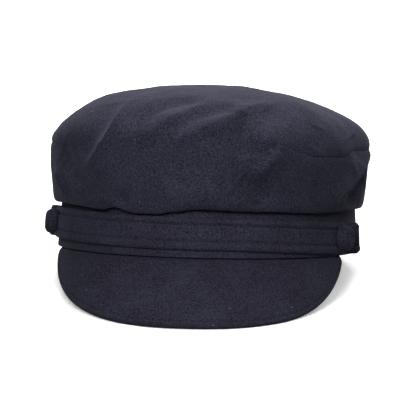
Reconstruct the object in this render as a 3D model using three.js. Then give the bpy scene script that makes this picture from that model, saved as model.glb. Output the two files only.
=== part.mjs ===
// A Breton fisherman cap in navy wool melton: soft crown of a top panel and a side wall, headband,
// stiff peak, strap across the front and two cloth-covered buttons.
// Millimetres. The cap is built in its own frame, with the foot of the headband in the XY plane and the
// peak towards -Y. It is then laid down as it lies by itself, on its peak and the back of its headband.
// Azimuths are in degrees round the cap: 0 is the front, 90 is +X and 180 is the back.
import * as THREE from 'three';

// Headband: an upright oval of doubled cloth that leans in towards its top edge.
const headWidth = 174;
const headLength = 196;
const bandWall = 2.4;
const bandHeight = 30;
const bandLean = 2;

// Crown: how far it stands out past the headband, its heights, and how far it hangs over the band.
// Its folds start at the level foldStart of the side wall and have their full depth from foldFull.
const crownSideReach = 5.6;
const crownFrontReach = 10;
const crownBackReach = 15;
const crownWallHeight = 31;
const crownRise = 36.3;
const crownForward = 10;
const crownOverhang = 3.7;
const clothWall = 1.8;
const hemWall = 1.2;
const foldDepth = 4;
const foldWidth = 10;
const foldStart = 0.3;
const foldFull = 0.5;

// Peak: its length at the middle, how far round it reaches and how steeply it falls. Its fan is the share
// of its azimuth that it turns out by, its end the share of peakCorner where it stops, and its rim's bulge a
// share of its thickness.
const peakLength = 43.2;
const peakThickness = 3.6;
const peakHemThickness = 2;
const peakCorner = 68.8;
const peakLeftRoundness = 2.5;
const peakRightRoundness = 3.1;
const peakFrontSlope = 53;
const peakSideSlope = 64;
const peakFan = 0.55;
const peakBow = 1.5;
const peakEnd = 0.965;
const peakRimBulge = 0.35;

// Strap and the buttons that hold its ends. The strap sits turned a little round the band.
const strapWidth = 18.2;
const strapWall = 1.8;
const strapFoot = 4.5;
const strapTail = 20;
const strapFlare = 4;
const strapCorner = 4;
const strapBevel = 0.7;
const strapTurn = -4;
const buttonAzimuth = 69;
const buttonDiameter = 15;
const buttonHeight = 6.6;

// Clearance between neighbours, and how far the cloth gives where it rests.
const seamGap = 0.3;
const bandPress = 1;
const peakPress = 1;

// How finely the curved surfaces are divided. Levels run up the crown, where 0 is the band, 1 the seam and
// 2 the middle of the top, and outs run from the band to the peak's rim.
const roundSteps = 88;
const frontCrowding = 0.3;
const sideLevels = [0, 0.09, 0.18, 0.27, 0.36, 0.45, 0.54, 0.63, 0.72, 0.81, 0.91];
const topLevels = [1.07, 1.15, 1.25, 1.37, 1.5, 1.65, 1.81, 1.94];
const peakSections = 41;
const peakOuts = [0, 0.08, 0.2, 0.36, 0.54, 0.72, 0.88, 1];
const peakHemOut = 0.25;
const strapSections = 33;
const buttonSides = 16;

// Small steps from which the surfaces' directions are worked out.
const azimuthStep = 0.5;
const levelStep = 0.01;
const peakStep = 0.02;

const degree = Math.PI / 180;
const halfWidth = headWidth / 2 + bandWall;
const halfLength = headLength / 2 + bandWall;
const crownTop = bandHeight + crownWallHeight + crownRise;
const seamShare = seamGap / (crownWallHeight + crownRise);
const bandPerDegree = halfLength * degree;
const strapEnd = buttonAzimuth + strapTail / bandPerDegree;

// Height of the seam round the top panel, as a share of the crown's wall height.
const seamRows = [
  { azimuth: -180, value: 0.8 },
  { azimuth: -120, value: 0.92 },
  { azimuth: -84, value: 1.02 },
  { azimuth: -50, value: 0.97 },
  { azimuth: 0, value: 1.25 },
  { azimuth: 30, value: 1.1 },
  { azimuth: 48, value: 0.88 },
  { azimuth: 61, value: 0.88 },
  { azimuth: 70, value: 0.99 },
  { azimuth: 90, value: 1.02 },
  { azimuth: 130, value: 0.9 },
  { azimuth: 180, value: 0.8 },
];

// How square the crown's shoulder is, as the exponent of its arch.
const shoulderRows = [
  { azimuth: -180, value: 2.2 },
  { azimuth: -90, value: 1.98 },
  { azimuth: -74, value: 2 },
  { azimuth: -50, value: 2.3 },
  { azimuth: -24, value: 2.15 },
  { azimuth: 0, value: 2.1 },
  { azimuth: 22, value: 2.15 },
  { azimuth: 50, value: 2.45 },
  { azimuth: 74, value: 2 },
  { azimuth: 90, value: 1.95 },
  { azimuth: 180, value: 2.2 },
];

// How much more than its usual overhang the crown sags over the band.
const sagRows = [
  { azimuth: -180, value: 0 },
  { azimuth: -120, value: 0.2 },
  { azimuth: -60, value: 0 },
  { azimuth: -45, value: 0.15 },
  { azimuth: -33, value: 0.45 },
  { azimuth: -27, value: 0 },
  { azimuth: -19, value: 0.7 },
  { azimuth: -11, value: 0.75 },
  { azimuth: -4, value: 0.25 },
  { azimuth: 4, value: -0.15 },
  { azimuth: 20, value: 0 },
  { azimuth: 52, value: 0.3 },
  { azimuth: 75, value: 0.1 },
  { azimuth: 130, value: 0.35 },
  { azimuth: 180, value: 0 },
];

// Height of the strap's lower edge over the band's foot, as a share of strapFoot. Its right end hangs lower.
const strapRows = [
  { azimuth: -180, value: 0.9 },
  { azimuth: -75, value: 1.2 },
  { azimuth: 10, value: 1 },
  { azimuth: 80, value: 0.15 },
  { azimuth: 180, value: 0.9 },
];

// The side wall's section from the band up to the seam: shares of its reach, its height and its overhang.
const wallRows = [
  { reach: 0, rise: 0, droop: 0 },
  { reach: 0.2, rise: 0, droop: 0.45 },
  { reach: 0.44, rise: 0, droop: 1 },
  { reach: 0.65, rise: 0, droop: 0.35 },
  { reach: 0.77, rise: 0.18, droop: 0 },
  { reach: 0.9, rise: 0.46, droop: 0 },
  { reach: 0.99, rise: 0.75, droop: 0 },
  { reach: 1, rise: 1, droop: 0 },
];

// A button's section from the middle of its foot over its dome: shares of its radius and its height.
const buttonRows = [
  { out: 0, up: 0 },
  { out: 0.88, up: 0 },
  { out: 1, up: 0.22 },
  { out: 0.97, up: 0.5 },
  { out: 0.82, up: 0.78 },
  { out: 0.5, up: 0.95 },
  { out: 0, up: 1 },
];

// Folds and dents of the crown. Each runs through places given as [azimuth, level]. Width and depth are
// shares of foldWidth and foldDepth, and a depth above zero is a ridge.
const folds = [
  { name: 'left shoulder', places: [[-72, 1.55], [-88, 1.55]], width: 1.8, depth: 0.25 },
  { name: 'left hollow', places: [[-70, 1.25], [-95, 1.27]], width: 1.4, depth: -0.5 },
  { name: 'right hollow', places: [[65, 1.5], [95, 1.45]], width: 1.6, depth: -0.15 },
  { name: 'right shoulder', places: [[78, 1.2], [96, 1.2]], width: 1.2, depth: 0.3 },
  {
    name: 'long crease',
    places: [[-28.5, 1.52], [-26.2, 1.29], [-27.5, 1.09], [-31.8, 0.96], [-37.8, 0.82]],
    width: 0.7,
    depth: 0.75,
  },
  {
    name: 'crease side',
    places: [[-40, 1.45], [-36, 1.23], [-38, 1.04], [-44, 0.92]],
    width: 1,
    depth: -0.7,
  },
  {
    name: 'upper valley',
    places: [[-1, 1.45], [-12, 1.34], [-16.2, 1.24], [-20.8, 1.14]],
    width: 0.7,
    depth: -0.5,
  },
  {
    name: 'front ridge',
    places: [[5, 1.36], [-2.8, 1.21], [-6.8, 1.15], [-9.8, 1.06], [-16, 1]],
    width: 0.55,
    depth: 0.65,
  },
  {
    name: 'front valley',
    places: [[13.8, 1.36], [3.5, 1.21], [-2.2, 1.1], [-7.8, 1]],
    width: 0.6,
    depth: -0.45,
  },
  {
    name: 'slanting ridge',
    places: [[33, 1.45], [19.2, 1.31], [12, 1.18], [5.5, 1.09], [-0.5, 0.98], [-4.8, 0.93]],
    width: 0.6,
    depth: 0.75,
  },
  { name: 'crown dent', places: [[30.8, 1.38], [37.8, 1.25]], width: 1, depth: -0.45 },
  {
    name: 'brow dent',
    places: [[21.5, 1.3], [20.3, 1.14], [20.5, 1], [21.5, 0.86]],
    width: 0.6,
    depth: -0.75,
  },
  { name: 'brow bump', places: [[31, 0.94], [27.5, 0.83], [24, 0.74]], width: 0.7, depth: 0.65 },
  {
    name: 'front tuck',
    places: [[19.2, 0.7], [22.5, 0.64], [25.5, 0.56], [28, 0.46]],
    width: 0.65,
    depth: -0.8,
  },
  { name: 'cheek dent', places: [[51, 1.23], [47.5, 1.04]], width: 0.8, depth: -0.35 },
  { name: 'temple dent', places: [[70.5, 1.15], [71.2, 1.04], [69.5, 0.91]], width: 0.9, depth: -0.4 },
  {
    name: 'right fold',
    places: [[84, 0.94], [75.2, 0.82], [69.2, 0.72], [61.8, 0.6], [57, 0.48]],
    width: 0.55,
    depth: 0.9,
  },
  { name: 'under right fold', places: [[89, 0.74], [79.5, 0.62], [69, 0.5]], width: 0.6, depth: -1.1 },
  { name: 'left dent', places: [[-55.5, 0.99], [-52, 0.85], [-48.8, 0.73]], width: 0.8, depth: -0.5 },
  {
    name: 'left fold',
    places: [[-54, 0.77], [-49, 0.67], [-45.5, 0.6], [-42, 0.57]],
    width: 0.5,
    depth: 0.6,
  },
  {
    name: 'outer left fold',
    places: [[-61.5, 0.72], [-58, 0.62], [-55, 0.54]],
    width: 0.5,
    depth: 0.5,
  },
  { name: 'hem notch', places: [[-25.5, 0.52], [-22, 0.42]], width: 0.6, depth: -0.45 },
  { name: 'back ridge', places: [[150, 1.45], [160, 1.1], [168, 0.8]], width: 1, depth: 0.5 },
  { name: 'back dent', places: [[-160, 1.3], [-165, 0.95]], width: 1.4, depth: -0.6 },
  { name: 'back tuck', places: [[178, 0.75], [172, 0.55]], width: 1, depth: -0.5 },
  { name: 'left back fold', places: [[-118, 1.25], [-128, 0.95], [-140, 0.6]], width: 1, depth: 0.55 },
  { name: 'right back fold', places: [[112, 1.2], [122, 0.9], [126, 0.6]], width: 0.9, depth: -0.55 },
];

// Value of rows against azimuth, blended smoothly from one row to the next.
function valueAt(rows, azimuth) {
  const turned = ((((azimuth + 180) % 360) + 360) % 360) - 180;
  const next = Math.max(1, rows.findIndex((row) => row.azimuth > turned));
  const [before, after] = [rows[next - 1], rows[next]];
  const share = THREE.MathUtils.smoothstep(turned, before.azimuth, after.azimuth);
  return THREE.MathUtils.lerp(before.value, after.value, share);
}

// Section of the side wall at a level from 0 to 1, as a smooth curve through its rows.
function wallAt(level) {
  const spot = THREE.MathUtils.clamp(level, 0, 1) * (wallRows.length - 1);
  const start = Math.min(Math.floor(spot), wallRows.length - 2);
  const share = spot - start;
  const row = (index) => wallRows[THREE.MathUtils.clamp(index, 0, wallRows.length - 1)];
  const blend = (key) => {
    const [a, b, c, d] = [-1, 0, 1, 2].map((step) => row(start + step)[key]);
    const bend = (2 * a - 5 * b + 4 * c - d) * share ** 2 + (3 * b - a - 3 * c + d) * share ** 3;
    return 0.5 * (2 * b + (c - a) * share + bend);
  };
  return { reach: blend('reach'), rise: blend('rise'), droop: blend('droop') };
}

// Point of the headband's outer oval, moved out by extra.
function ovalPoint(azimuth, height, extra = 0) {
  const angle = azimuth * degree;
  const [across, forward] = [(halfWidth + extra) * Math.sin(angle), (halfLength + extra) * Math.cos(angle)];
  return new THREE.Vector3(across, -forward, height);
}

// Outer face of the headband at a height, moved out by extra.
function bandFace(azimuth, height, extra = 0) {
  return ovalPoint(azimuth, height, extra - (bandLean * height) / bandHeight);
}

// The crown before its folds: up the side wall from level 0 to 1, and over the top from 1 to 2.
function plainCrown(azimuth, level) {
  const angle = azimuth * degree;
  const endReach = Math.abs(azimuth) < 90 ? crownFrontReach : crownBackReach;
  const seam = bandHeight + crownWallHeight * valueAt(seamRows, azimuth);
  const rim = new THREE.Vector3(
    (halfWidth + crownSideReach) * Math.sin(angle),
    -(halfLength + endReach) * Math.cos(angle),
    seam,
  );
  if (level <= 1) {
    const section = wallAt(level);
    const foot = bandFace(azimuth, bandHeight, seamGap);
    const droop = crownOverhang * (1 + valueAt(sagRows, azimuth)) * section.droop;
    const point = foot.clone().lerp(rim, section.reach);
    point.z = THREE.MathUtils.lerp(bandHeight + seamGap, seam, section.rise) - droop;
    return point;
  }
  const arch = Math.min(level - 1, 1) * Math.PI / 2;
  const power = 2 / valueAt(shoulderRows, azimuth);
  const inward = Math.max(Math.cos(arch), 0) ** power;
  const middle = new THREE.Vector3(0, -crownForward, seam);
  const point = middle.lerp(rim, inward);
  point.z = THREE.MathUtils.lerp(seam, crownTop, Math.sin(arch) ** power);
  return point;
}

// Outward normal of a surface given as a function of azimuth and level.
function normalOf(surface, azimuth, level) {
  const [low, high] = [Math.max(level - levelStep, 0), Math.min(level + levelStep, 2 - levelStep)];
  const along = surface(azimuth + azimuthStep, level).sub(surface(azimuth - azimuthStep, level));
  const up = surface(azimuth, high).sub(surface(azimuth, low));
  return along.cross(up).normalize();
}

const foldLines = folds.map((fold) => ({
  width: fold.width * foldWidth,
  depth: fold.depth * foldDepth,
  points: fold.places.map(([azimuth, level]) => plainCrown(azimuth, level)),
}));

// How far the folds push the crown out at a point of its plain surface.
function foldPush(point) {
  const nearest = new THREE.Vector3();
  let push = 0;
  for (const { width, depth, points } of foldLines) {
    let distance = Infinity;
    for (let i = 1; i < points.length; i++) {
      new THREE.Line3(points[i - 1], points[i]).closestPointToPoint(point, true, nearest);
      distance = Math.min(distance, nearest.distanceTo(point));
    }
    push += depth * Math.exp(-((distance / width) ** 2));
  }
  return push;
}

// The crown's outer surface. The folds fade out where the cloth is sewn to the band.
function crownSurface(azimuth, level) {
  const point = plainCrown(azimuth, level);
  const fade = THREE.MathUtils.smoothstep(level, foldStart, foldFull);
  return point.addScaledVector(normalOf(plainCrown, azimuth, level), foldPush(point) * fade);
}

// Ring of points round the crown at a level, on its outer face or its inner one.
function crownRing(level, inside) {
  const wall = THREE.MathUtils.lerp(hemWall, clothWall, THREE.MathUtils.smoothstep(level, 0, foldFull));
  return Array.from({ length: roundSteps }, (_, step) => {
    const turn = (step / roundSteps) * 2 * Math.PI - Math.PI;
    const azimuth = (turn - frontCrowding * Math.sin(turn)) / degree;
    const point = crownSurface(azimuth, level);
    return inside ? point.addScaledVector(normalOf(crownSurface, azimuth, level), -wall) : point;
  });
}

// The peak's upper face: across runs from -1 to 1 along the band, out from 0 at the band to 1 at the rim.
function peakSurface(across, out) {
  const azimuth = peakCorner * across;
  const slope = THREE.MathUtils.lerp(peakFrontSlope, peakSideSlope, across ** 2) * degree;
  const fan = azimuth * peakFan * degree;
  const share = 1 - Math.abs(across) ** (across < 0 ? peakLeftRoundness : peakRightRoundness);
  const length = peakLength * share * out;
  const bow = peakBow * share * 4 * out * (1 - out);
  const reach = length * Math.cos(slope) + bow * Math.sin(slope);
  const drop = length * Math.sin(slope) - bow * Math.cos(slope);
  const point = ovalPoint(azimuth, -seamGap - drop);
  point.x += reach * Math.sin(fan);
  point.y -= reach * Math.cos(fan);
  return point;
}

// Closed section across the peak: its upper face, its rounded rim and its lower face.
function peakSection(across) {
  const frame = peakOuts.map((out) => {
    const along = peakSurface(across + peakStep, out).sub(peakSurface(across - peakStep, out));
    const far = Math.min(out + peakStep, 1);
    const down = peakSurface(across, far).sub(peakSurface(across, far - 2 * peakStep)).normalize();
    const normal = down.clone().cross(along).normalize();
    const hemShare = THREE.MathUtils.smoothstep(out, 0, peakHemOut);
    const thickness = THREE.MathUtils.lerp(peakHemThickness, peakThickness, hemShare);
    return { upper: peakSurface(across, out), down, normal, thickness };
  });
  const rim = frame.at(-1);
  const edge = rim.upper.clone()
    .addScaledVector(rim.normal, -rim.thickness / 2)
    .addScaledVector(rim.down, rim.thickness * peakRimBulge);
  const uppers = frame.map((place) => place.upper);
  const lowers = frame.map((place) => place.upper.clone().addScaledVector(place.normal, -place.thickness));
  return [...uppers, edge, ...lowers.reverse()];
}

// Closed section across the strap. Near its ends the strap rounds off and stands away from the band.
function strapSection(azimuth) {
  const left = (strapEnd - Math.abs(azimuth - strapTurn)) * bandPerDegree;
  const pastButton = strapTail - buttonDiameter / 2;
  const lift = seamGap + strapFlare * (1 - THREE.MathUtils.smoothstep(left, 0, pastButton));
  const cut = Math.max(strapCorner - left, 0);
  const trim = strapCorner - Math.sqrt(strapCorner ** 2 - cut ** 2);
  const low = strapFoot * valueAt(strapRows, azimuth);
  const [foot, top] = [low + trim, low + strapWidth - trim];
  const corner = (height, out) => bandFace(azimuth, height, lift + out);
  return [
    corner(foot, 0),
    corner(foot, strapWall - strapBevel),
    corner(foot + strapBevel, strapWall),
    corner(top - strapBevel, strapWall),
    corner(top, strapWall - strapBevel),
    corner(top, 0),
  ];
}

// Closed solid through rings of points. Joined rings run round a hole. The others are filled at each end.
function loft(rings, joined) {
  const count = rings[0].length;
  const points = rings.flat();
  const faces = [];
  for (let i = 0; i < rings.length - (joined ? 0 : 1); i++) {
    const next = (i + 1) % rings.length;
    for (let j = 0; j < count; j++) {
      const k = (j + 1) % count;
      const [a, b, c, d] = [i * count + j, i * count + k, next * count + k, next * count + j];
      faces.push([a, b, c], [a, c, d]);
    }
  }
  if (!joined) {
    for (const start of [0, (rings.length - 1) * count]) {
      const middle = new THREE.Vector3();
      points.slice(start, start + count).forEach((point) => middle.addScaledVector(point, 1 / count));
      points.push(middle);
      for (let j = 0; j < count; j++) {
        const edge = [start + ((j + 1) % count), start + j];
        faces.push([points.length - 1, ...(start === 0 ? edge : edge.reverse())]);
      }
    }
  }
  const spans = faces.map(([a, b, c]) => points[a].dot(points[b].clone().cross(points[c])));
  const outward = spans.reduce((sum, span) => sum + span) > 0;
  const geometry = new THREE.BufferGeometry().setFromPoints(points);
  geometry.setIndex(faces.flatMap(([a, b, c]) => (outward ? [a, b, c] : [a, c, b])));
  geometry.computeVertexNormals();
  return geometry;
}

const woolCloth = { color: 0x242839, roughness: 0.95, metalness: 0 };

function clothMesh(name, geometry) {
  const mesh = new THREE.Mesh(geometry, new THREE.MeshStandardMaterial(woolCloth));
  mesh.name = name;
  return mesh;
}

// Top panel of the crown, seamed round its edge to the side wall.
function crownTopPanel() {
  const levels = [1 + seamShare, ...topLevels];
  const outer = levels.map((level) => crownRing(level, false));
  const inner = levels.map((level) => crownRing(level, true));
  return clothMesh('crown_top', loft([...outer.reverse(), ...inner], false));
}

// Side wall of the crown, from the headband up to the top panel.
function crownSideWall() {
  const levels = [...sideLevels, 1 - seamShare];
  const outer = levels.map((level) => crownRing(level, false));
  const inner = levels.map((level) => crownRing(level, true));
  return clothMesh('crown_side', loft([...outer, ...inner.reverse()], true));
}

function headband() {
  const corners = [[0, 0], [bandHeight, 0], [bandHeight, -bandWall], [0, -bandWall]];
  const rings = corners.map(([height, out]) => Array.from({ length: roundSteps }, (_, step) => (
    pressed(bandFace((step / roundSteps) * 360, height, out))
  )));
  return clothMesh('headband', loft(rings, true));
}

function peak() {
  return clothMesh('peak', loft(peakOutline.map((section) => section.map(pressed)), false));
}

function strap() {
  const sections = Array.from({ length: strapSections }, (_, index) => {
    const share = (2 * index) / (strapSections - 1) - 1;
    return strapSection(strapTurn + strapEnd * Math.sin(share * Math.PI / 2));
  });
  return clothMesh('strap', loft(sections, false));
}

// Domed button, turned about the line that points straight out of the strap.
function button(name, azimuth) {
  const radius = buttonDiameter / 2;
  const profile = buttonRows.map((row) => new THREE.Vector2(row.out * radius, row.up * buttonHeight));
  const mesh = clothMesh(name, new THREE.LatheGeometry(profile, buttonSides));
  const height = strapFoot * valueAt(strapRows, azimuth) + strapWidth / 2;
  const seat = bandFace(azimuth, height, 2 * seamGap + strapWall);
  const along = bandFace(azimuth + azimuthStep, height).sub(bandFace(azimuth - azimuthStep, height));
  const up = bandFace(azimuth, bandHeight).sub(bandFace(azimuth, 0));
  const outward = along.cross(up).normalize();
  mesh.position.copy(seat);
  mesh.quaternion.setFromUnitVectors(new THREE.Vector3(0, 1, 0), outward);
  return mesh;
}

// How the cap lies: the floor runs under the back of the band and under the peak's lowest part.
const peakOutline = Array.from({ length: peakSections }, (_, index) => {
  const share = (2 * index) / (peakSections - 1) - 1;
  return peakSection(peakEnd * Math.sin(share * Math.PI / 2));
});
const restTilt = Math.max(...peakOutline.flat().map((point) => (
  Math.atan2(bandPress - peakPress - point.z, halfLength - point.y)
)));
const restHeight = halfLength * Math.sin(restTilt) - bandPress * Math.cos(restTilt);

// Cloth that would sink into the floor is pressed flat against it.
function pressed(point) {
  const height = point.z * Math.cos(restTilt) - point.y * Math.sin(restTilt) + restHeight;
  const floorUp = new THREE.Vector3(0, -Math.sin(restTilt), Math.cos(restTilt));
  return point.clone().addScaledVector(floorUp, Math.max(-height, 0));
}

const lyingCap = new THREE.Group();
lyingCap.rotation.x = -restTilt;
lyingCap.position.z = restHeight;
lyingCap.add(
  crownTopPanel(),
  crownSideWall(),
  headband(),
  peak(),
  strap(),
  button('button_left', strapTurn - buttonAzimuth),
  button('button_right', strapTurn + buttonAzimuth),
);

// The origin is on the floor under the middle of the cap.
const cap = new THREE.Group();
cap.add(lyingCap);
const middle = new THREE.Box3().setFromObject(cap, true).getCenter(new THREE.Vector3());
cap.position.set(-middle.x, -middle.y, 0);

export default cap;
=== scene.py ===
# A Breton fisherman cap in navy wool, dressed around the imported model.
# Forms are worked out in millimetres in the cap's own frame: the foot of the headband lies in the XY plane
# and the peak points to -Y. They are then laid down the way the cap rests, on its peak and the back of its
# band. Azimuths are degrees round the cap, with 0 at the front and 90 at +X.
import math

import bpy
import numpy as np
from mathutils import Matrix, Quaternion, Vector, noise


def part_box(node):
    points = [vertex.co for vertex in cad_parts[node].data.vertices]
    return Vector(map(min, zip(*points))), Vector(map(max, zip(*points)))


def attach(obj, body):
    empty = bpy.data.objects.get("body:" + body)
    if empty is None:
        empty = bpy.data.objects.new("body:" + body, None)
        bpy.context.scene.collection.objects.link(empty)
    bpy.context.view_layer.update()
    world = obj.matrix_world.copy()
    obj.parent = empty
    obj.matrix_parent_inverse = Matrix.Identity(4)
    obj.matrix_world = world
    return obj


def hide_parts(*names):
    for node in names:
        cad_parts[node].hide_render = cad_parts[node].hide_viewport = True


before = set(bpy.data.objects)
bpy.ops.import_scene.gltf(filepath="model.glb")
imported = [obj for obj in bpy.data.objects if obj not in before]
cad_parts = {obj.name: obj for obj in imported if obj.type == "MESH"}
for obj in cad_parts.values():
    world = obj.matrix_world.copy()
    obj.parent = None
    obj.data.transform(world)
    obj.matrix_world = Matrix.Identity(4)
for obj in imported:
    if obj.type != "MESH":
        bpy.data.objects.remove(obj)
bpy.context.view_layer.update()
print("frame loaded")

seamGap = 0.3  # between neighbouring pieces
headband = {
    "width": 174,
    "length": 196,
    "wall": 2.4,
    "height": 30,
    "lean": 2,
    "press": 1,  # how far its foot is pressed flat at the back
    "footRound": 0.7,
    "straight": (1.5, 28),  # heights between which its faces run straight
    "steps": 480,
    "rows": 24,
    "edgeSteps": 9,
    "ripples": [(0.12, 12, 4.4)],
}
halfWidth = headband["width"] / 2 + headband["wall"]
halfLength = headband["length"] / 2 + headband["wall"]
bandPerDegree = math.radians(halfLength)


def ease(value, low, high):
    share = np.clip((value - low) / (high - low), 0, 1)
    return share * share * (3 - 2 * share)


def dip(distance, width):
    return np.exp(-((distance / width) ** 2))


def rowsAt(rows, azimuth):
    # value of (azimuth, value) rows, eased from one row to the next
    places, values = np.array(rows, float).T
    turned = (np.asarray(azimuth, float) + 180) % 360 - 180
    after = np.clip(np.searchsorted(places, turned, side="right"), 1, len(places) - 1)
    share = ease(turned, places[after - 1], places[after])
    return values[after - 1] + (values[after] - values[after - 1]) * share


def curveThrough(rows, share):
    # smooth curve through evenly spaced rows, for shares from 0 to 1
    rows = np.array(rows, float)
    spot = np.clip(share, 0, 1) * (len(rows) - 1)
    start = np.minimum(spot.astype(int), len(rows) - 2)
    t = (spot - start)[..., None]
    a, b, c, d = (rows[np.clip(start + step, 0, len(rows) - 1)] for step in (-1, 0, 1, 2))
    bend = (2 * a - 5 * b + 4 * c - d) * t**2 + (3 * b - a - 3 * c + d) * t**3
    return 0.5 * (2 * b + (c - a) * t + bend)


def stacked(*parts):
    return np.stack(np.broadcast_arrays(*parts), -1)


def lumps(points, size, seed):
    # soft noise from -1 to 1 whose lumps are about size millimetres wide
    flat = points.reshape(-1, 3) / size + seed
    values = [noise.noise(Vector(spot)) for spot in flat]
    return np.array(values).reshape(points.shape[:-1])


def ripples(points, waves):
    # unevenness of hand-made cloth: waves of (height, size, seed)
    return sum(height * lumps(points, size, seed) for height, size, seed in waves)


def gridNormals(rings, closed):
    # outward normals of a grid of rings, each running the way azimuth grows
    if closed:
        along = np.roll(rings, -1, 1) - np.roll(rings, 1, 1)
    else:
        along = np.gradient(rings, axis=1)
    up = np.gradient(rings, axis=0)
    normal = np.cross(along, up)
    return normal / np.maximum(np.linalg.norm(normal, axis=-1, keepdims=True), 1e-9)


def bandFace(azimuth, height, extra=0.0):
    # outer face of the headband, which leans in towards its top
    angle = np.radians(azimuth)
    out = extra - headband["lean"] * np.asarray(height) / headband["height"]
    return stacked((halfWidth + out) * np.sin(angle), -(halfLength + out) * np.cos(angle), height)


def aroundCap(steps, crowding):
    # azimuths all the way round, closer together at the front
    turn = np.linspace(-math.pi, math.pi, steps, endpoint=False)
    return np.degrees(turn - crowding * np.sin(turn))


def addPiece(name, points, faces):
    # smooth mesh from points in millimetres
    mesh = bpy.data.meshes.new(name)
    mesh.from_pydata((points / 1000).tolist(), [], faces)
    mesh.update()
    mesh.shade_smooth()
    piece = bpy.data.objects.new(name, mesh)
    bpy.context.collection.objects.link(piece)
    return piece


def loftMesh(name, rings, joined=False, capped=False):
    # closed mesh through rings of points: joined rings run round a hole, capped ones are filled at the ends
    count, size = rings.shape[:2]
    points = rings.reshape(-1, 3)
    rows = np.arange(count if joined else count - 1)
    i, j = np.meshgrid(rows, np.arange(size), indexing="ij")
    k, nextRow = (j + 1) % size, (i + 1) % count
    faces = stacked(i * size + j, i * size + k, nextRow * size + k, nextRow * size + j)
    faces = faces.reshape(-1, 4).tolist()
    if capped:
        for row in (0, count - 1):
            points = np.vstack([points, rings[row].mean(0)])
            for step in range(size):
                edge = [row * size + (step + 1) % size, row * size + step]
                faces.append([len(points) - 1] + (edge if row == 0 else edge[::-1]))
    piece = addPiece(name, points, faces)
    mesh = piece.data
    mesh.calc_loop_triangles()
    corners = np.empty(len(mesh.loop_triangles) * 3, int)
    mesh.loop_triangles.foreach_get("vertices", corners)
    a, b, c = points[corners.reshape(-1, 3)].transpose(1, 0, 2)
    volume = np.einsum("ij,ij->i", a, np.cross(b, c)).sum() / 6
    if volume < 0:  # its faces point in
        mesh.flip_normals()
    return piece


# The peak: a stiff board under cloth, with a turned and stitched rim.
peak = {
    "length": 43.2,
    "thickness": 3.6,
    "hemThickness": 2,
    "corner": 68.8,  # azimuth that its outline runs out to
    "leftRoundness": 2.5,
    "rightRoundness": 3.1,
    "frontSlope": 53,
    "sideSlope": 64,
    "fan": 0.55,  # share of its azimuth that it points out by
    "bow": 1.5,
    "end": 0.972,  # share of the corners' azimuth where it stops
    "fullFrom": 0.25,  # share of the length past which it is at full thickness
    "cornerFrom": 0.94,  # past this share of its width it thins out to its corners
    "cornerLength": 0.034,
    "cornerLeast": 0.04,
    "rimBulge": 0.35,
    "rimTurn": 75,  # degrees that the rim's bulge turns over to each face
    "press": 1,  # how far its rim is pressed flat on the floor
    "sections": 320,
    "rows": 60,
    "rowCrowding": 1.25,
    "rimSteps": 9,
    "rimGroove": 2.6,  # how far in from the rim the stitches run
    "grooveDepth": 0.28,
    "grooveWidth": 0.7,
    "hemSwell": 0.25,  # the turned-in cloth between the stitches and the rim
    "hemRound": 0.6,  # it rounds off this far from the rim
    "hemFade": (1, 4),  # and fades in over these distances from the band
    "stitchEnd": 0.93,
    "stitchLeast": 8,  # the stitches stop where the peak is shorter than this
    "stitchLift": 0.1,
    "bandDip": 0.7,
    "bandDipWidth": 1.1,
    "ripples": [(0.18, 16, 3.7), (0.07, 4, 9.1)],
    "tuck": 6,  # how far the hem is turned up inside the band
    "tuckFrom": 0.5,  # how far it then lies inside the band's inner face, and how thick it is there
    "tuckThickness": 1.3,
}


def peakLengthAt(across):
    roundness = np.where(across < 0, peak["leftRoundness"], peak["rightRoundness"])
    return peak["length"] * (1 - np.abs(across) ** roundness)


def peakSurface(across, out):
    # upper face: across from -1 to 1 along the band, out from 0 at the band to 1 at the rim
    across, out = np.broadcast_arrays(np.asarray(across, float), np.asarray(out, float))
    azimuth = peak["corner"] * across
    slope = np.radians(peak["frontSlope"] + (peak["sideSlope"] - peak["frontSlope"]) * across**2)
    fan = np.radians(azimuth * peak["fan"])
    length = peakLengthAt(across) * out
    bow = peak["bow"] * peakLengthAt(across) / peak["length"] * 4 * out * (1 - out)
    reach = length * np.cos(slope) + bow * np.sin(slope)
    drop = length * np.sin(slope) - bow * np.cos(slope)
    angle = np.radians(azimuth)
    x = halfWidth * np.sin(angle) + reach * np.sin(fan)
    y = -halfLength * np.cos(angle) - reach * np.cos(fan)
    return stacked(x, y, -seamGap - drop)


def peakFrame(across, out):
    # point, outward normal and direction down the slope of the upper face
    step = 0.01
    along = peakSurface(across + step, out) - peakSurface(across - step, out)
    far = np.minimum(out + step, 1)
    down = peakSurface(across, far) - peakSurface(across, far - 2 * step)
    down /= np.linalg.norm(down, axis=-1, keepdims=True)
    normal = np.cross(down, along)
    normal /= np.linalg.norm(normal, axis=-1, keepdims=True)
    return peakSurface(across, out), normal, down


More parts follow.
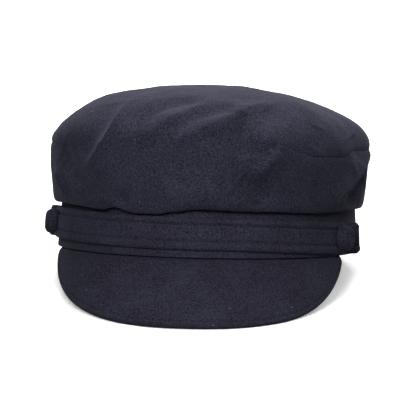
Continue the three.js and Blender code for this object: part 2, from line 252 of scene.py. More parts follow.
def peakRings():
    turn = np.linspace(-math.pi / 2, math.pi / 2, peak["sections"])
    across = (peak["end"] * np.sin(turn))[:, None]
    outs = 1 - (1 - np.linspace(0, 1, peak["rows"])) ** peak["rowCrowding"]
    upper, normal, down = peakFrame(across, outs[None, :])
    fromRim = peakLengthAt(across) * (1 - outs[None, :])
    fromBand = peakLengthAt(across) * outs[None, :]
    pastCorner = np.maximum(np.abs(across) - peak["cornerFrom"], 0) / peak["cornerLength"]
    taper = np.sqrt(np.clip(1 - pastCorner**2, peak["cornerLeast"], 1))
    full = ease(outs, 0, peak["fullFrom"])[None, :]
    thickness = (peak["hemThickness"] + (peak["thickness"] - peak["hemThickness"]) * full) * taper
    relief = -peak["grooveDepth"] * dip(fromRim - peak["rimGroove"], peak["grooveWidth"])
    inHem = (1 - ease(fromRim, peak["hemRound"], peak["rimGroove"])) * ease(fromBand, *peak["hemFade"])
    relief += peak["hemSwell"] * inHem
    relief -= peak["bandDip"] * dip(fromBand, peak["bandDipWidth"])
    relief = (relief + ripples(upper, peak["ripples"])) * taper
    centre = upper - normal * thickness[..., None] / 2
    face = upper + normal * relief[..., None]
    turns = np.radians(np.linspace(peak["rimTurn"], -peak["rimTurn"], peak["rimSteps"]))
    half = thickness[:, -1:, None] / 2
    rimPoints = (
        centre[:, -1:]
        + normal[:, -1:] * half * np.sin(turns)[None, :, None]
        + down[:, -1:] * 2 * peak["rimBulge"] * half * np.cos(turns)[None, :, None]
    )
    under = (upper - normal * thickness[..., None])[:, ::-2]
    outer = -headband["wall"] - peak["tuckFrom"]
    inner = outer - peak["tuckThickness"]
    tuckOuts = np.array([[inner, inner, outer, outer]])
    tuckHeights = np.array([[0, peak["tuck"], peak["tuck"], -seamGap]])
    inside = bandFace(peak["corner"] * across, tuckHeights, tuckOuts)
    return np.concatenate([face, rimPoints, under, inside], 1)


# The floor runs under the back of the band and the peak's lowest part.
peakPoints = peakRings()
drops = headband["press"] - peak["press"] - peakPoints[..., 2]
restTilt = np.arctan2(drops, halfLength - peakPoints[..., 1]).max()
restHeight = halfLength * math.sin(restTilt) - headband["press"] * math.cos(restTilt)


def laid(points):
    # the cap's own frame turned into the way it lies, with the cloth pressed flat where it meets the floor
    x, y, z = np.moveaxis(points, -1, 0)
    turnedY = y * math.cos(restTilt) + z * math.sin(restTilt)
    turnedZ = z * math.cos(restTilt) - y * math.sin(restTilt) + restHeight
    return stacked(x, turnedY, np.maximum(turnedZ, 0)) + shift


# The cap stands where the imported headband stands.
shift = np.zeros(3)
bandEdges = laid(bandFace(aroundCap(360, 0)[:, None], np.array([0, headband["height"]])[None, :]))
packedMiddle = np.array(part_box("headband")).mean(0) * 1000
ownMiddle = (bandEdges.min((0, 1)) + bandEdges.max((0, 1))) / 2
shift = np.array([packedMiddle[0] - ownMiddle[0], packedMiddle[1] - ownMiddle[1], 0])
print("rest tilt", round(math.degrees(restTilt), 3), "shift", shift.round(3))

# The crown: a side wall that bags out over the band, and a top panel seamed round its edge.
crown = {
    "sideReach": 5.6,  # how far it stands out past the band
    "frontReach": 10,
    "backReach": 15,
    "wallHeight": 31,
    "rise": 36.3,
    "forward": 10,  # how far in front of the middle its top is highest
    "overhang": 3.7,
    "cloth": 1.8,
    "hem": 1.2,
    "steps": 480,
    "crowding": 0.3,
    "sideRows": 100,
    "topRows": 110,
    "topCrowding": 1.15,
    "topEnd": 1.985,  # level of the top's last ring, which a cap of faces closes
    "foldStart": 0.3,  # the folds fade in between these two levels
    "foldFull": 0.5,
    "foldEnds": 0.3,  # share of a fold's depth that is left at its ends
    "foldArch": 0.6,
    "foldSteps": 6,
    "foldReach": 4,  # a fold is worked out as far as this many of its widths
    "panelGap": 0.06,  # between the two panels along the seam
    "seamDepth": 0.9,
    "seamWidth": 1.3,
    "seamTurn": 4,  # how deep the panels' edges are turned in along the seam
    "seamTurnWidth": 1.2,
    "pucker": (0.35, 5, 21.3),  # uneven pull of the seam, and how far it reaches
    "puckerReach": 5,
    "ripples": [(0.5, 17, 1.3), (0.16, 6, 5.9)],
    "rippleFade": (0.1, 0.4),  # and so do the ripples between these
}
crownTopHeight = headband["height"] + crown["wallHeight"] + crown["rise"]
panelGapShare = crown["panelGap"] / (crown["wallHeight"] + crown["rise"])
# The next rows run round the cap as (azimuth, value): the seam's height as a share of wallHeight, how square
# the shoulder above it is, and how much more the crown sags over the band, as a share of its overhang.
seamRows = [
    (-180, 0.8), (-120, 0.92), (-84, 1.02), (-50, 0.97), (0, 1.25), (30, 1.1), (48, 0.88), (61, 0.88),
    (70, 0.99), (90, 1.02), (130, 0.9), (180, 0.8),
]
shoulderRows = [
    (-180, 2.2), (-90, 1.98), (-74, 2), (-50, 2.3), (-24, 2.15), (0, 2.1), (22, 2.15), (50, 2.45), (74, 2),
    (90, 1.95), (180, 2.2),
]
sagRows = [
    (-180, 0), (-120, 0.2), (-60, 0), (-45, 0.15), (-33, 0.45), (-27, 0), (-19, 0.7), (-11, 0.75), (-4, 0.25),
    (4, -0.15), (20, 0), (52, 0.3), (75, 0.1), (130, 0.35), (180, 0),
]
# how deep the seam sinks in: it stands up a little beside the long crease and vanishes over the brow
seamSinkRows = [
    (-180, 0.9), (-80, 0.7), (-70, 0.5), (-62, 0.05), (-40, -0.1), (-33, -0.35), (-21, -0.3), (-14, 0),
    (40, 0.05), (48, 0.4), (61, 0.4), (66, 0.3), (74, 0.35), (90, 0.5), (180, 0.9),
]
# the side wall's section from the band to the seam: shares of reach, rise and droop
wallRows = [
    (0, 0, 0), (0.2, 0, 0.45), (0.44, 0, 1), (0.65, 0, 0.35), (0.77, 0.18, 0), (0.9, 0.46, 0),
    (0.99, 0.75, 0), (1, 1, 0),
]
# Folds run through places of (azimuth, level), where level 0 is the band, 1 the seam and 2 the middle of
# the top. Width and depth are millimetres, and a depth above zero is a ridge. A low edge makes its crest
# sharp, and a lean above or below zero makes one side of it gentler than the other.
crownFolds = {
    "leftShoulder": {"places": [(-72, 1.55), (-88, 1.55)], "width": 18, "depth": 1, "edge": 2, "lean": 0},
    "leftHollow": {"places": [(-70, 1.25), (-95, 1.27)], "width": 14, "depth": -2, "edge": 2, "lean": 0},
    "rightHollow": {"places": [(65, 1.5), (95, 1.45)], "width": 16, "depth": -0.6, "edge": 2, "lean": 0},
    "rightShoulder": {"places": [(78, 1.2), (96, 1.2)], "width": 12, "depth": 1.2, "edge": 2, "lean": 0},
    "longCrease": {
        "places": [(-28.5, 1.52), (-26.2, 1.29), (-27.5, 1.09), (-31.8, 0.96), (-37.8, 0.82)],
        "width": 7, "depth": 4.4, "edge": 1.3, "lean": 0.45,
    },
    "creaseSide": {
        "places": [(-40, 1.45), (-36, 1.23), (-38, 1.04), (-44, 0.92)],
        "width": 10, "depth": -3.2, "edge": 2, "lean": 0,
    },
    "upperValley": {
        "places": [(-1, 1.45), (-12, 1.34), (-16.2, 1.24), (-20.8, 1.14)],
        "width": 7, "depth": -2.8, "edge": 2, "lean": 0,
    },
    "frontRidge": {
        "places": [(5, 1.36), (-2.8, 1.21), (-6.8, 1.15), (-9.8, 1.06), (-16, 1)],
        "width": 4.8, "depth": 3.6, "edge": 1.4, "lean": 0,
    },
    "frontValley": {
        "places": [(13.8, 1.36), (3.5, 1.21), (-2.2, 1.1), (-7.8, 1)],
        "width": 6, "depth": -2.8, "edge": 2, "lean": 0,
    },
    "slantingRidge": {
        "places": [(33, 1.45), (19.2, 1.31), (12, 1.18), (5.5, 1.09), (-0.5, 0.98), (-4.8, 0.93)],
        "width": 5.5, "depth": 4, "edge": 1.4, "lean": 0,
    },
    "underRidge": {
        "places": [(16.2, 1.11), (10.5, 1.02), (4.5, 0.94)],
        "width": 7, "depth": -2, "edge": 2, "lean": 0,
    },
    "crownDent": {"places": [(30.8, 1.38), (37.8, 1.25)], "width": 10, "depth": -2.6, "edge": 2, "lean": 0},
    "browDent": {
        "places": [(21.5, 1.3), (20.3, 1.14), (20.5, 1), (21.5, 0.86)],
        "width": 5.5, "depth": -5.2, "edge": 1.6, "lean": -0.3,
    },
    "browSwell": {"places": [(25.5, 1.04), (30, 1.02)], "width": 6, "depth": 2.8, "edge": 2, "lean": 0},
    "browBump": {
        "places": [(31, 0.94), (27.5, 0.83), (24, 0.74)],
        "width": 6, "depth": 5, "edge": 1.5, "lean": 0.5,
    },
    "frontTuck": {
        "places": [(19.2, 0.7), (22.5, 0.64), (25.5, 0.56), (28, 0.46)],
        "width": 6, "depth": -5.4, "edge": 2, "lean": 0,
    },
    "frontSwell": {
        "places": [(-9, 0.58), (4, 0.54), (18, 0.5)],
        "width": 8, "depth": 2, "edge": 2, "lean": 0,
    },
    "cheekDent": {"places": [(51, 1.23), (47.5, 1.04)], "width": 8, "depth": -1.8, "edge": 2, "lean": 0},
    "templeDent": {
        "places": [(70.5, 1.15), (71.2, 1.04), (69.5, 0.91)],
        "width": 9, "depth": -1.8, "edge": 2, "lean": 0,
    },
    "templeRidge": {"places": [(67, 0.9), (67, 0.78)], "width": 3, "depth": 1.2, "edge": 2, "lean": 0},
    "rightFold": {
        "places": [(84, 0.94), (75.2, 0.82), (69.2, 0.72), (61.8, 0.6), (57, 0.48)],
        "width": 5, "depth": 4.6, "edge": 1.4, "lean": -0.5,
    },
    "underRightFold": {
        "places": [(89, 0.74), (79.5, 0.62), (69, 0.5)],
        "width": 6, "depth": -6.5, "edge": 2, "lean": 0,
    },
    "leftDent": {
        "places": [(-55.5, 0.99), (-52, 0.85), (-48.8, 0.73)],
        "width": 8, "depth": -3, "edge": 2, "lean": 0,
    },
    "leftFold": {
        "places": [(-54, 0.77), (-49, 0.67), (-45.5, 0.6), (-42, 0.57)],
        "width": 5, "depth": 3, "edge": 1.6, "lean": 0.3,
    },
    "outerLeftFold": {
        "places": [(-61.5, 0.72), (-58, 0.62), (-55, 0.54)],
        "width": 4.5, "depth": 2.4, "edge": 1.6, "lean": 0.3,
    },
    "hemNotch": {"places": [(-25.5, 0.52), (-22, 0.42)], "width": 5, "depth": -3, "edge": 2, "lean": 0},
    "backRidge": {
        "places": [(150, 1.45), (160, 1.1), (168, 0.8)],
        "width": 10, "depth": 2, "edge": 2, "lean": 0,
    },
    "backDent": {"places": [(-160, 1.3), (-165, 0.95)], "width": 14, "depth": -2.4, "edge": 2, "lean": 0},
    "backTuck": {"places": [(178, 0.75), (172, 0.55)], "width": 10, "depth": -2, "edge": 2, "lean": 0},
    "leftBackFold": {
        "places": [(-118, 1.25), (-128, 0.95), (-140, 0.6)],
        "width": 10, "depth": 2.2, "edge": 2, "lean": 0,
    },
    "rightBackFold": {
        "places": [(112, 1.2), (122, 0.9), (126, 0.6)],
        "width": 9, "depth": -2.2, "edge": 2, "lean": 0,
    },
}


def plainCrown(azimuth, level):
    # the crown before its folds
    azimuth, level = np.broadcast_arrays(np.asarray(azimuth, float), np.asarray(level, float))
    angle = np.radians(azimuth)
    turned = (azimuth + 180) % 360 - 180
    endReach = np.where(np.abs(turned) < 90, crown["frontReach"], crown["backReach"])
    seam = headband["height"] + crown["wallHeight"] * rowsAt(seamRows, azimuth)
    rimWidth, rimLength = halfWidth + crown["sideReach"], halfLength + endReach
    rim = stacked(rimWidth * np.sin(angle), -rimLength * np.cos(angle), seam)
    reach, rise, droop = np.moveaxis(curveThrough(wallRows, np.minimum(level, 1)), -1, 0)
    foot = bandFace(azimuth, headband["height"], seamGap)
    side = foot + (rim - foot) * reach[..., None]
    base = headband["height"] + seamGap
    sag = crown["overhang"] * (1 + rowsAt(sagRows, azimuth)) * droop
    side[..., 2] = base + (seam - base) * rise - sag
    arch = np.clip(level - 1, 0, 1) * math.pi / 2
    power = 2 / rowsAt(shoulderRows, azimuth)
    inward = np.clip(np.cos(arch), 0, 1) ** power
    top = stacked(
        rim[..., 0] * inward,
        -crown["forward"] + (rim[..., 1] + crown["forward"]) * inward,
        seam + (crownTopHeight - seam) * np.sin(arch) ** power,
    )
    return np.where((level <= 1)[..., None], side, top)


def foldLine(places):
    # the fold's run over the plain crown, as a smooth line
    spots = curveThrough(places, np.linspace(0, 1, crown["foldSteps"] * (len(places) - 1) + 1))
    return plainCrown(spots[:, 0], spots[:, 1])


def foldPush(points, normals):
    # how far the folds push each point of the plain crown out
    push = np.zeros(points.shape[:-1])
    for fold in crownFolds.values():
        line = foldLine(fold["places"])
        middle = line.mean(0)
        reach = np.linalg.norm(line - middle, axis=-1).max()
        reach += crown["foldReach"] * fold["width"] * (1 + abs(fold["lean"]))
        near = np.linalg.norm(points - middle, axis=-1) < reach
        spots, outward = points[near], normals[near]
        distance, side, spot = np.full(len(spots), np.inf), np.zeros(len(spots)), np.zeros(len(spots))
        for index, (start, end) in enumerate(zip(line[:-1], line[1:])):
            along = end - start
            share = np.clip((spots - start) @ along / (along @ along), 0, 1)
            away = spots - start - share[:, None] * along
            length = np.linalg.norm(away, axis=-1)
            turn = (np.cross(along, away) * outward).sum(-1)
            turn /= np.maximum(length * np.linalg.norm(along), 1e-6)
            side = np.where(length < distance, turn, side)
            spot = np.where(length < distance, (index + share) / (len(line) - 1), spot)
            distance = np.minimum(distance, length)
        width = fold["width"] * (1 + fold["lean"] * np.clip(side, -1, 1))
        arch = np.sin(spot * math.pi) ** crown["foldArch"]
        depth = fold["depth"] * (crown["foldEnds"] + (1 - crown["foldEnds"]) * arch)
        push[near] += depth * np.exp(-((distance / width) ** fold["edge"]))
    return push


def crownRings(azimuths, levels):
    # outer face of the crown at the levels, with its folds, its small ripples and its sunk seam
    plain = plainCrown(azimuths[None, :], levels[:, None])
    normal = gridNormals(plain, True)
    fade = ease(levels, crown["foldStart"], crown["foldFull"])[:, None]
    push = foldPush(plain, normal) * fade
    seamLine = plainCrown(azimuths[None, :], np.array([[1]]))
    fromSeam = np.linalg.norm(plain - seamLine, axis=-1)
    sink = rowsAt(seamSinkRows, azimuths)[None, :]
    push -= crown["seamDepth"] * sink * dip(fromSeam, crown["seamWidth"])
    push += ripples(seamLine, [crown["pucker"]]) * sink * dip(fromSeam, crown["puckerReach"])
    push += ripples(plain, crown["ripples"]) * ease(levels, *crown["rippleFade"])[:, None]
    return plain + normal * push[..., None]


def clothWall(outer, wall):
    # the inner face of a wall of cloth behind an outer face, with its edge turned in along the seam
    seamRow = 0 if outer[0, 0, 2] > outer[-1, 0, 2] else -1
    fromSeam = np.linalg.norm(outer - outer[seamRow], axis=-1, keepdims=True)
    depth = wall + crown["seamTurn"] * dip(fromSeam, crown["seamTurnWidth"])
    return outer - gridNormals(outer, True) * depth


def makeCrownTop():
    azimuths = aroundCap(crown["steps"], crown["crowding"])
    start = 1 + panelGapShare
    levels = start + (crown["topEnd"] - start) * np.linspace(0, 1, crown["topRows"]) ** crown["topCrowding"]
    outer = crownRings(azimuths, levels)
    inner = clothWall(outer, crown["cloth"])[::4]  # fewer rings do inside
    return loftMesh("crownTop", laid(np.concatenate([outer[::-1], inner])), capped=True)


def makeCrownSide():
    azimuths = aroundCap(crown["steps"], crown["crowding"])
    levels = np.linspace(0, 1 - panelGapShare, crown["sideRows"])
    outer = crownRings(azimuths, levels)
    wall = crown["hem"] + (crown["cloth"] - crown["hem"]) * ease(levels, 0, crown["foldFull"])[:, None, None]
    inner = clothWall(outer, wall)[::-3]
    return loftMesh("crownSide", laid(np.concatenate([outer, inner])), joined=True)


def makeHeadband():
    # section up the outer face, over the top edge, down the inner face and round the foot
    height, wall, footRound = headband["height"], headband["wall"], headband["footRound"]
    turns = np.radians(np.linspace(0, 180, headband["edgeSteps"]))
    half = wall / 2
    topEdge = [(height - half + half * math.sin(a), -half + half * math.cos(a)) for a in turns]
    footEdge = [(footRound - footRound * math.sin(a), -half - half * math.cos(a)) for a in turns]
    rise = np.linspace(*headband["straight"], headband["rows"])
    section = [(z, 0) for z in rise] + topEdge + [(z, -wall) for z in rise[::-2]] + footEdge
    azimuths = aroundCap(headband["steps"], crown["crowding"])
    rings = np.array([bandFace(azimuths, z, out) for z, out in section])
    rings = rings + gridNormals(rings, True) * ripples(rings, headband["ripples"])[..., None]
    return loftMesh("headbandCloth", laid(rings), joined=True)


# The strap across the front, and the rows of stitches along its edges.
strap = {
    "width": 18.2,
    "wall": 1.8,
    "foot": 4.5,  # how high its lower edge runs over the band's foot
    "tail": 20,  # how far it runs past the middle of each button
    "flare": 4,  # how far its ends stand off
    "corner": 4,
    "round": 0.7,
    "turn": -4,  # it sits turned a little round the band
    "sections": 340,
    "faceRows": 44,
    "backRows": 10,
    "edgeSteps": 6,
    "topRow": 4.2,  # how far the upper row of stitches runs below the upper edge
    "footRow": 4.8,  # and the lower one above the lower edge
    "rowDepth": 0.75,
    "rowWidth": 0.8,
    "puff": 0.45,
    "puffWidth": 1.6,
    "ripples": [(0.14, 9, 7.7), (0.06, 3, 2.2)],
    "stitchEnd": 2.2,  # how far from the strap's ends its stitches stop
}
button = {
    "azimuth": 69,
    "diameter": 15,
    "height": 6.6,
    "hole": 0.004,  # share of the section that the flat caps at its ends take up
    "rings": 64,
    "sides": 96,
    "gathers": 18,
    "gatherDepth": 0.05,
    "gatherFrom": 0.8,  # share of the radius past which the cloth gathers
}
strapFootRows = [(-180, 0.9), (-75, 1.2), (10, 1), (80, 0.15), (180, 0.9)]  # (azimuth, share of the foot)
strapEnd = button["azimuth"] + strap["tail"] / bandPerDegree


def strapLow(azimuth):
    return strap["foot"] * rowsAt(strapFootRows, azimuth)


def strapLift(azimuth):
    # the strap stands away from the band past its buttons
    left = (strapEnd - np.abs(azimuth - strap["turn"])) * bandPerDegree
    pastButton = strap["tail"] - button["diameter"] / 2
    return seamGap + strap["flare"] * (1 - ease(left, 0, pastButton))


def strapTrim(azimuth):
    # how far the rounded corners at its ends are cut back
    left = (strapEnd - np.abs(azimuth - strap["turn"])) * bandPerDegree
    cut = np.clip(strap["corner"] - left, 0, strap["corner"])
    return strap["corner"] - np.sqrt(strap["corner"] ** 2 - cut**2)


def strapRelief(fromFoot, fromTop):
    # sunk along its two rows of stitches and puffed up between them and its edges
    footRow, topRow, puffWidth = strap["footRow"], strap["topRow"], strap["puffWidth"]
    rows = dip(fromFoot - footRow, strap["rowWidth"]) + dip(fromTop - topRow, strap["rowWidth"])
    edges = dip(fromFoot - footRow / 2, puffWidth) + dip(fromTop - topRow / 2, puffWidth)
    return strap["puff"] * edges - strap["rowDepth"] * rows


def makeStrap():
    turn = np.linspace(-math.pi / 2, math.pi / 2, strap["sections"])
    azimuth = (strap["turn"] + strapEnd * np.sin(turn))[:, None]
    trim, lift = strapTrim(azimuth), strapLift(azimuth)
    foot, top = strapLow(azimuth) + trim, strapLow(azimuth) + strap["width"] - trim
    roundness, wall = strap["round"], strap["wall"]
    turns = np.radians(np.linspace(0, 90, strap["edgeSteps"]))[None, :]
    share = np.linspace(0, 1, strap["faceRows"])[None, :]
    face = foot + roundness + (top - foot - 2 * roundness) * share
    footEdge = foot + roundness * (1 - np.sin(turns))[:, ::-1]
    topEdge = top - roundness * (1 - np.cos(turns))[:, ::-1]
    back = top + (foot - top) * np.linspace(0, 1, strap["backRows"])[None, :]
    fromFoot = face - strapLow(azimuth)
    relief = strapRelief(fromFoot, strap["width"] - fromFoot)
    relief += ripples(bandFace(azimuth, face), strap["ripples"])
    edgeOut = wall - roundness * (1 - np.cos(turns))
    heights = np.concatenate([footEdge, face, topEdge[:, ::-1], back], 1)
    outs = np.concatenate([
        np.broadcast_to(edgeOut[:, ::-1], footEdge.shape),
        wall + relief,
        np.broadcast_to(edgeOut, topEdge.shape),
        np.zeros_like(back),
    ], 1)
    return loftMesh("strapCloth", laid(bandFace(azimuth, heights, lift + outs)), capped=True)


thread = {
    "spots": 900,  # places along the row's path
    "pitch": 3.1,
    "length": 2.3,
    "radius": 0.24,
    "endShare": 0.35,  # share of the radius that is left at a stitch's ends
    "rise": 0.3,
    "sink": 0.6,  # share of the rise by which its ends lie under the cloth
    "rings": 7,
    "sides": 8,
}


def stitchRow(name, path, normals):
    # short threads sunk at both ends, laid along a path and joined in one mesh
    lengths = np.concatenate([[0], np.cumsum(np.linalg.norm(np.diff(path, axis=0), axis=1))])
    count = int(lengths[-1] // thread["pitch"])
    shares = np.linspace(0, 1, thread["rings"])
    turns = np.linspace(0, 2 * math.pi, thread["sides"], endpoint=False)
    points, faces = [], []
    for index in range(count):
        starts = (index + 0.5) * lengths[-1] / count + (shares - 0.5) * thread["length"]
        spine = np.stack([np.interp(starts, lengths, path[:, axis]) for axis in range(3)], 1)
        up = np.stack([np.interp(starts, lengths, normals[:, axis]) for axis in range(3)], 1)
        up /= np.linalg.norm(up, axis=1, keepdims=True)
        ahead = np.gradient(spine, axis=0)
        ahead /= np.linalg.norm(ahead, axis=1, keepdims=True)
        side = np.cross(up, ahead)
        arc = np.sin(shares * math.pi)
        radius = thread["radius"] * (thread["endShare"] + (1 - thread["endShare"]) * arc**0.5)
        spine = spine + up * (thread["rise"] * (arc - thread["sink"]))[:, None]
        ring = side[:, None] * np.cos(turns)[None, :, None] + up[:, None] * np.sin(turns)[None, :, None]
        first = len(points)
        points.extend((spine[:, None] + ring * radius[:, None, None]).reshape(-1, 3).tolist())
        for i in range(len(shares) - 1):
            for j in range(len(turns)):
                k = (j + 1) % len(turns)
                a, b = first + i * len(turns), first + (i + 1) * len(turns)
                faces.append([a + j, a + k, b + k, b + j])
        faces.append([first + j for j in range(len(turns))][::-1])
        faces.append([first + (len(shares) - 1) * len(turns) + j for j in range(len(turns))])
    return addPiece(name, laid(np.array(points)), faces)


def makeStrapStitches(name, fromFoot):
    ends = strapEnd - strap["stitchEnd"] / bandPerDegree
    azimuth = strap["turn"] + np.linspace(-ends, ends, thread["spots"])
    low = strapLow(azimuth)
    relief = strapRelief(fromFoot, strap["width"] - fromFoot)
    path = bandFace(azimuth, low + fromFoot, strapLift(azimuth) + strap["wall"] + relief)
    normals = bandFace(azimuth, low + fromFoot, 1) - bandFace(azimuth, low + fromFoot, 0)
    return stitchRow(name, path, normals)


def makePeakStitches():
    across = np.linspace(-peak["stitchEnd"], peak["stitchEnd"], thread["spots"])
    across = across[peakLengthAt(across) > peak["stitchLeast"]]
    surface, normal, _ = peakFrame(across, 1 - peak["rimGroove"] / peakLengthAt(across))
    path = surface + normal * (peak["stitchLift"] - peak["grooveDepth"])
    return stitchRow("peakStitches", path, normal)


# A covered button's section from the middle of its top to the middle of its foot, in shares of its radius
# and height.
buttonRows = [
    (0, 0.95), (0.2, 0.955), (0.38, 0.985), (0.52, 1), (0.66, 0.965), (0.8, 0.86), (0.91, 0.7), (0.98, 0.48),
    (1, 0.3), (0.97, 0.12), (0.88, 0.01), (0.6, 0), (0.3, 0), (0, 0),
]


def makeButton(name, azimuth):
    radius = button["diameter"] / 2
    rows = curveThrough(buttonRows, np.linspace(button["hole"], 1 - button["hole"], button["rings"]))
    turns = np.linspace(0, 2 * math.pi, button["sides"], endpoint=False)
    gathered = ease(rows[:, 0], button["gatherFrom"], 1) * (rows[:, 1] > 0.02)  # none on its flat foot
    gather = button["gatherDepth"] * np.sin(turns * button["gathers"]) * gathered[:, None]
    out = rows[:, :1] * radius + gather
    height = strapLow(azimuth) + strap["width"] / 2
    seat = bandFace(azimuth, height, 2 * seamGap + strap["wall"])
    along = bandFace(azimuth + 0.5, height) - bandFace(azimuth - 0.5, height)  # over one degree
    up = bandFace(azimuth, headband["height"]) - bandFace(azimuth, 0)
    outward = np.cross(along, up)
    along, up, outward = (line / np.linalg.norm(line) for line in (along, up, outward))
    rings = (
        seat
        + (out * np.cos(turns))[..., None] * along
        + (out * np.sin(turns))[..., None] * up
        + (rows[:, 1:] * button["height"])[..., None] * outward
    )
    return loftMesh(name, laid(rings), capped=True)


# Finishes. Colours are linear, and lengths in the materials are metres.
wool = {
    "dark": (0.0040, 0.0039, 0.0068),
    "light": (0.0332, 0.0326, 0.0519),
    "fleck": 0.0009,
    "fleckRange": (0.3, 0.72),
    "cloud": 0.016,
    "cloudRange": (0.25, 0.75),
    "cloudShade": 0.1,
    "nap": 0.00225,
    "lintSpacing": 0.011,
    "lintRange": (0.05, 0.03),  # lint shows inside the second distance and fades out at the first
    "lintColour": (0.065, 0.073, 0.1),
    "specular": 0.05,
    "sheen": 0.03,
    "sheenRoughness": 0.45,
    "sheenTint": (0.62, 0.68, 0.95),
    "roughness": 0.92,
    "bump": 0.00035,
    "bumpStrength": 0.7,
}


def addNode(tree, kind, **values):
    node = tree.nodes.new(kind)
    for key, value in values.items():
        if key in node.inputs:
            node.inputs[key].default_value = value
        else:
            setattr(node, key, value)
    return node


def addRange(tree, source, ends, low=0, high=1):
    ranged = addNode(tree, "ShaderNodeMapRange")
    ranged.inputs["From Min"].default_value = ends[0]
    ranged.inputs["From Max"].default_value = ends[1]
    ranged.inputs["To Min"].default_value = low
    ranged.inputs["To Max"].default_value = high
    tree.links.new(source, ranged.inputs["Value"])
    return ranged.outputs["Result"]


def woolCloth(name, brightness):
    # felted wool: flecks from dark to light, softer clouds of shade, stray bits of lint and a rough nap
    material = bpy.data.materials.new(name)
    material.use_nodes = True
    tree = material.node_tree
    link = tree.links.new
    shader = tree.nodes["Principled BSDF"]
    place = addNode(tree, "ShaderNodeTexCoord").outputs["Object"]
    fleck = addNode(tree, "ShaderNodeTexNoise", Scale=1 / wool["fleck"], Detail=3, Roughness=0.65)
    cloud = addNode(tree, "ShaderNodeTexNoise", Scale=1 / wool["cloud"], Detail=2, Roughness=0.5)
    nap = addNode(tree, "ShaderNodeTexNoise", Scale=1 / wool["nap"], Detail=4, Roughness=0.7, Distortion=0.6)
    lint = addNode(tree, "ShaderNodeTexVoronoi", Scale=1 / wool["lintSpacing"])
    for texture in (fleck, cloud, nap, lint):
        link(place, texture.inputs["Vector"])
    shade = addNode(tree, "ShaderNodeMath", operation="ADD", use_clamp=True)
    link(addRange(tree, fleck.outputs["Fac"], wool["fleckRange"]), shade.inputs[0])
    drift = addRange(tree, cloud.outputs["Fac"], wool["cloudRange"], -wool["cloudShade"], wool["cloudShade"])
    link(drift, shade.inputs[1])
    cloth = addNode(tree, "ShaderNodeMix", data_type="RGBA")
    cloth.inputs[6].default_value = (*[value * brightness for value in wool["dark"]], 1)
    cloth.inputs[7].default_value = (*[value * brightness for value in wool["light"]], 1)
    link(shade.outputs["Value"], cloth.inputs[0])
    colour = addNode(tree, "ShaderNodeMix", data_type="RGBA")
    colour.inputs[7].default_value = (*wool["lintColour"], 1)
    link(addRange(tree, lint.outputs["Distance"], wool["lintRange"]), colour.inputs[0])
    link(cloth.outputs[2], colour.inputs[6])
    link(colour.outputs[2], shader.inputs["Base Color"])
    height = addNode(tree, "ShaderNodeMath", operation="ADD")
    link(fleck.outputs["Fac"], height.inputs[0])
    link(nap.outputs["Fac"], height.inputs[1])
    bump = addNode(tree, "ShaderNodeBump", Strength=wool["bumpStrength"], Distance=wool["bump"])
    link(height.outputs["Value"], bump.inputs["Height"])
    link(bump.outputs["Normal"], shader.inputs["Normal"])
    shader.inputs["Roughness"].default_value = wool["roughness"]
    shader.inputs["Specular IOR Level"].default_value = wool["specular"]
    shader.inputs["Sheen Weight"].default_value = wool["sheen"]
    shader.inputs["Sheen Roughness"].default_value = wool["sheenRoughness"]
    shader.inputs["Sheen Tint"].default_value = (*wool["sheenTint"], 1)
    return material


navyWool = woolCloth("navyWool", 1)
peakShadedWool = woolCloth("peakShadedWool", 0.86)  # painted shade: the same wool made darker so the peak looks less lit than the lamps leave it
buttonWool = woolCloth("buttonWool", 0.92)
darkThread = woolCloth("darkThread", 0.7)


def dress(piece, material, slotName, *nodes):
    piece.data.materials.append(material)
    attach(piece, "root")
    if nodes:
        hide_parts(*nodes)


# the peak's cloth carries painted shade, a darker copy of the navy wool
dress(loftMesh("peakCloth", laid(peakPoints), capped=True), peakShadedWool, "navy_wool", "peak")
dress(makeHeadband(), navyWool, "navy_wool", "headband")
print("headband and peak made")
dress(makeCrownSide(), navyWool, "navy_wool", "crown_side")
dress(makeCrownTop(), navyWool, "navy_wool", "crown_top")
print("crown made")
dress(makeStrap(), navyWool, "navy_wool", "strap")
dress(makeStrapStitches("strapUpperStitches", strap["width"] - strap["topRow"]), darkThread, "navy_wool")
dress(makeStrapStitches("strapLowerStitches", strap["footRow"]), darkThread, "navy_wool")
dress(makePeakStitches(), darkThread, "navy_wool")
for buttonName, node, side in (("leftButton", "button_left", -1), ("rightButton", "button_right", 1)):
    piece = makeButton(buttonName, strap["turn"] + side * button["azimuth"])
    dress(piece, buttonWool, "covered_button", node)
print("strap, stitches and buttons made")

studio = {
    "floorWidth": 8,
    "floorFront": -3,
    "floorBack": 1.2,
    "wallBend": 0.8,  # radius of the sweep from the floor up into the wall
    "wallTop": 3,
    "floorSink": 0.0003,
    "floorColour": (0.88, 0.88, 0.88),
    "floorRoughness": 0.9,
    "floorGlow": 0.35,
    "world": 0.1,
    "lights": {
        "top": {"power": 6.1, "place": (0.02, 0.13, 0.72), "size": 0.45, "aim": (0, 0, 0.05)},
        "front": {"power": 4.3, "place": (0, -0.6, 0.32), "size": 0.2, "aim": (0, 0, 0.05)},
        "right": {"power": 2.4, "place": (0.62, -0.4, 0.9), "size": 0.6, "aim": (0, 0, 0.05)},
        "backLeft": {"power": 6, "place": (-0.55, 1.4, 0.7), "size": 0.6, "aim": (0, 0, 0.05)},
        "backRight": {"power": 5, "place": (0.55, 1.4, 0.7), "size": 0.6, "aim": (0, 0, 0.05)},
        "wall": {"power": 46, "place": (0, 0.75, 1.5), "size": 1.2, "aim": (0, 2.2, 0.4)},
    },
}


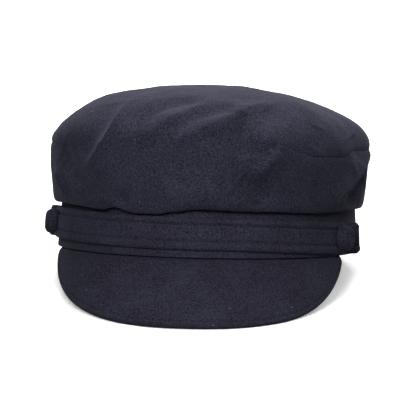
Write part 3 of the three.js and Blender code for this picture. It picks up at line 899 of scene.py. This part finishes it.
def palePaper():
    # lit a little from below, as a light table is
    material = bpy.data.materials.new("palePaper")
    material.use_nodes = True
    shader = material.node_tree.nodes["Principled BSDF"]
    shader.inputs["Base Color"].default_value = (*studio["floorColour"], 1)
    shader.inputs["Roughness"].default_value = studio["floorRoughness"]
    shader.inputs["Emission Color"].default_value = (1, 1, 1, 1)
    shader.inputs["Emission Strength"].default_value = studio["floorGlow"]
    return material


def makeBackdrop():
    # a pale floor that sweeps up into a wall behind the cap
    back, bend, side = studio["floorBack"], studio["wallBend"], studio["floorWidth"] / 2
    turns = np.radians(np.arange(10, 91, 10))
    profile = [(studio["floorFront"], 0), (back, 0)]
    profile += [(back + bend * math.sin(a), bend - bend * math.cos(a)) for a in turns]
    profile += [(back + bend, studio["wallTop"])]
    points = [(x, y, z - studio["floorSink"]) for y, z in profile for x in (-side, side)]
    faces = [(2 * i, 2 * i + 1, 2 * i + 3, 2 * i + 2) for i in range(len(profile) - 1)]
    mesh = bpy.data.meshes.new("paleFloor")
    mesh.from_pydata(points, [], faces)
    mesh.shade_smooth()
    floor = bpy.data.objects.new("paleFloor", mesh)
    bpy.context.collection.objects.link(floor)
    floor.visible_diffuse = False  # light thrown back up from the floor would fill in the folds
    floor.data.materials.append(palePaper())


def addSoftLight(name, light):
    lamp = bpy.data.lights.new(name, "AREA")
    lamp.shape = "DISK"
    lamp.size = light["size"]
    lamp.energy = light["power"]
    holder = bpy.data.objects.new(name, lamp)
    holder.location = light["place"]
    holder.rotation_mode = "QUATERNION"
    holder.rotation_quaternion = (Vector(light["aim"]) - Vector(light["place"])).to_track_quat("-Z", "Y")
    bpy.context.collection.objects.link(holder)


makeBackdrop()
for lightName, lightValues in studio["lights"].items():
    addSoftLight(lightName + "Light", lightValues)
world = bpy.data.worlds.new("softStudio")
world.use_nodes = True
world.node_tree.nodes["Background"].inputs["Color"].default_value = (1, 1, 1, 1)
world.node_tree.nodes["Background"].inputs["Strength"].default_value = studio["world"]
bpy.context.scene.world = world
bpy.context.scene.view_settings.view_transform = "Standard"

# The photograph's view. Its frame is 416 pixels wide, and the scale is pixels to a metre at the look point.
photoView = {
    "azimuth": 7.055,
    "elevation": 12.157,
    "roll": 0.16,
    "distance": 1.3,
    "lookAt": (-0.00085, 0, 0.0407),
    "scale": 1676,
    "frameWidth": 416,
}


def makeCamera():
    camera = bpy.data.cameras.new("photoCamera")
    camera.sensor_width = 36
    camera.lens = photoView["scale"] * photoView["distance"] / photoView["frameWidth"] * camera.sensor_width
    camera.clip_start = 0.05
    camera.clip_end = 20
    holder = bpy.data.objects.new("photoCamera", camera)
    azimuth, elevation = math.radians(photoView["azimuth"]), math.radians(photoView["elevation"])
    level = math.cos(elevation)
    back = Vector((math.sin(azimuth) * level, -math.cos(azimuth) * level, math.sin(elevation)))
    holder.location = Vector(photoView["lookAt"]) + back * photoView["distance"]
    holder.rotation_mode = "QUATERNION"
    roll = Quaternion((0, 0, 1), math.radians(photoView["roll"]))
    holder.rotation_quaternion = (-back).to_track_quat("-Z", "Y") @ roll
    bpy.context.collection.objects.link(holder)
    bpy.context.scene.camera = holder


makeCamera()
print("studio and camera set")
